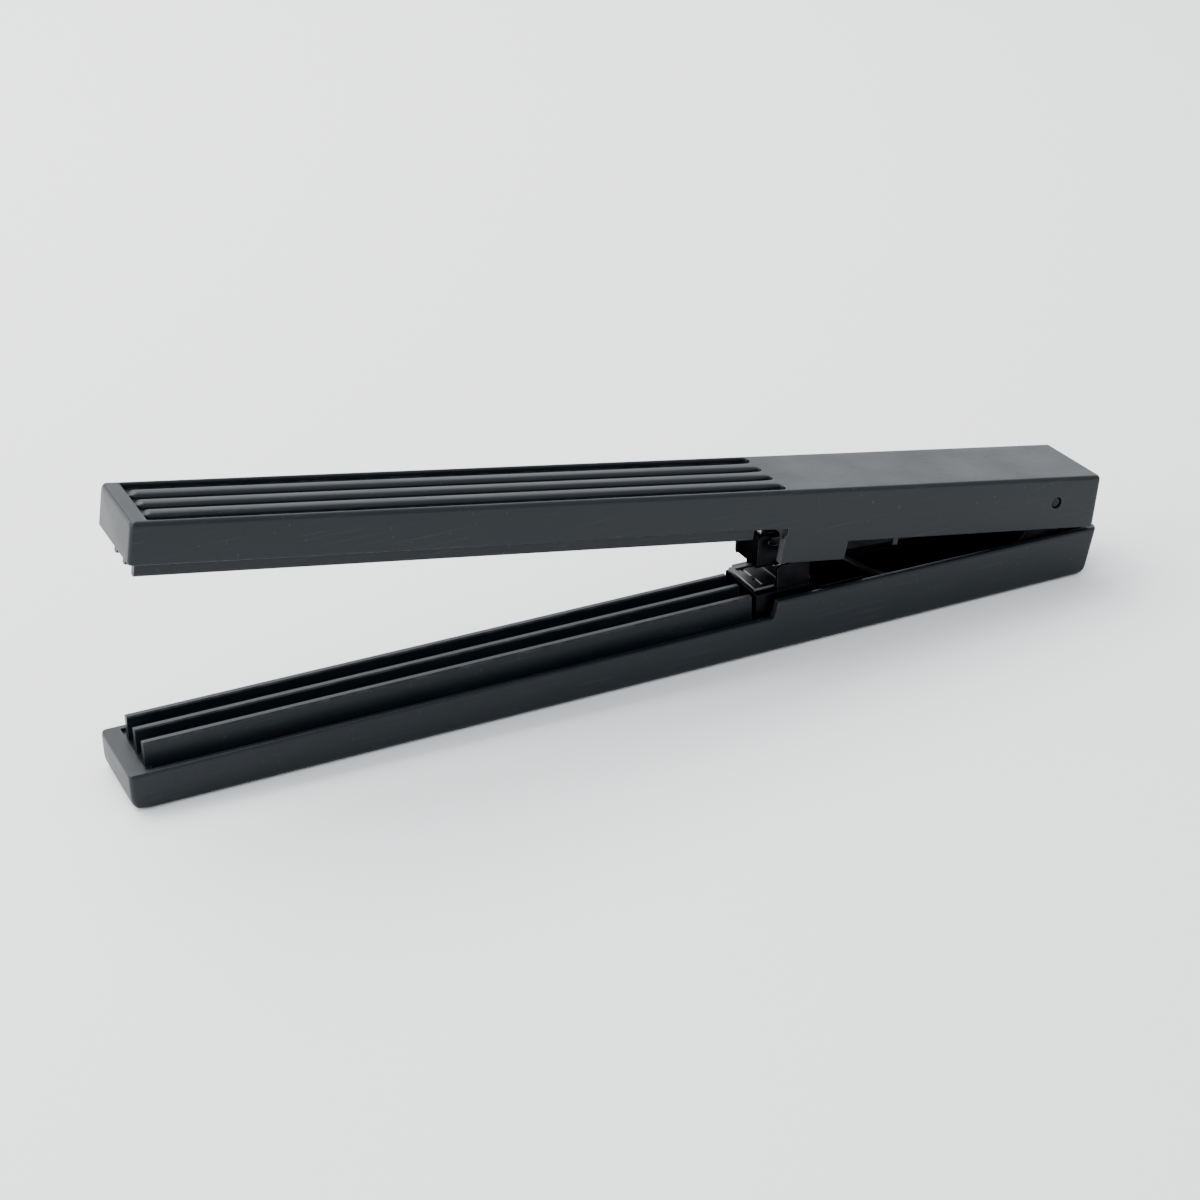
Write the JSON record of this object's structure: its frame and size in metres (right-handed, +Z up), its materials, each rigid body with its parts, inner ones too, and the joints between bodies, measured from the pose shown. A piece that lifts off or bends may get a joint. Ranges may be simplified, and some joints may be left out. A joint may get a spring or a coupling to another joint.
{
  "type": "long two-arm stapler",
  "caption": "Slim two-arm plier stapler: grooved grip arms on one rear hinge pin, with a sprung magazine, driver blade and anvil between them.",
  "frame": {"origin": "centre of the bounding box in plan, on the surface that the lower arm lies on", "axes": "+X from the grip ends to the hinge, +Y across the arms, +Z up from the lower arm's flat underside"},
  "size_m": [0.2616, 0.024, 0.0702],
  "materials": {
    "black_plastic": "satin moulded, light scuffs",
    "black_steel": "blackened steel",
    "zinc_steel": "zinc-plated sheet",
    "spring_steel": "oiled spring steel",
    "staple_wire": "bright wire"
  },
  "bodies": {
    "lower_arm": {"lower_arm_shell": "black_plastic", "lower_frame": "black_steel", "frame_rivet_1": "zinc_steel", "frame_rivet_2": "zinc_steel", "frame_rivet_3": "zinc_steel", "anvil_block": "black_steel", "anvil_plate": "spring_steel", "anvil_rivet_near": "spring_steel", "anvil_rivet_far": "spring_steel", "hinge_pin": "spring_steel", "spacer_near": "zinc_steel", "spacer_far": "zinc_steel", "jaw_spring": "spring_steel", "jaw_spring_rivet": "zinc_steel"},
    "magazine": {"magazine_channel": "black_steel", "nose_plate": "black_steel", "staple_rail": "zinc_steel", "staple_strip": "staple_wire", "rod_bridge": "zinc_steel", "guide_rod": "spring_steel", "end_block": "zinc_steel", "end_block_pin": "spring_steel", "pusher_spring": "spring_steel"},
    "pusher": {"pusher": "zinc_steel"},
    "upper_arm": {"upper_arm_shell": "black_plastic", "driver_blade": "spring_steel", "driver_holder": "black_steel", "driver_screw_near": "zinc_steel", "driver_screw_far": "zinc_steel", "return_spring": "spring_steel", "return_spring_rivet": "zinc_steel"}
  },
  "joints": [
    {"name": "magazine_hinge", "type": "hinge", "parent": "lower_arm", "child": "magazine", "pos_m": [0.1167, 0, 0.0229], "axis": [0, 1, 0], "range_deg": [-2.8, 0], "stiffness_Nm_per_rad": 1.5, "springref_deg": 17.19, "deforming": ["jaw_spring"]},
    {"name": "upper_arm_hinge", "type": "hinge", "parent": "magazine", "child": "upper_arm", "pos_m": [0.1167, 0, 0.0229], "axis": [0, 1, 0], "range_deg": [-3.6, 0], "stiffness_Nm_per_rad": 1.5, "springref_deg": 17.19, "deforming": ["return_spring"]},
    {"name": "pusher_slide", "type": "slide", "parent": "magazine", "child": "pusher", "axis": [0.9988, 0, -0.0489], "range_m": [0, 0.026], "stiffness_N_per_m": 30, "springref_m": -0.05, "deforming": ["pusher_spring"]}
  ]
}
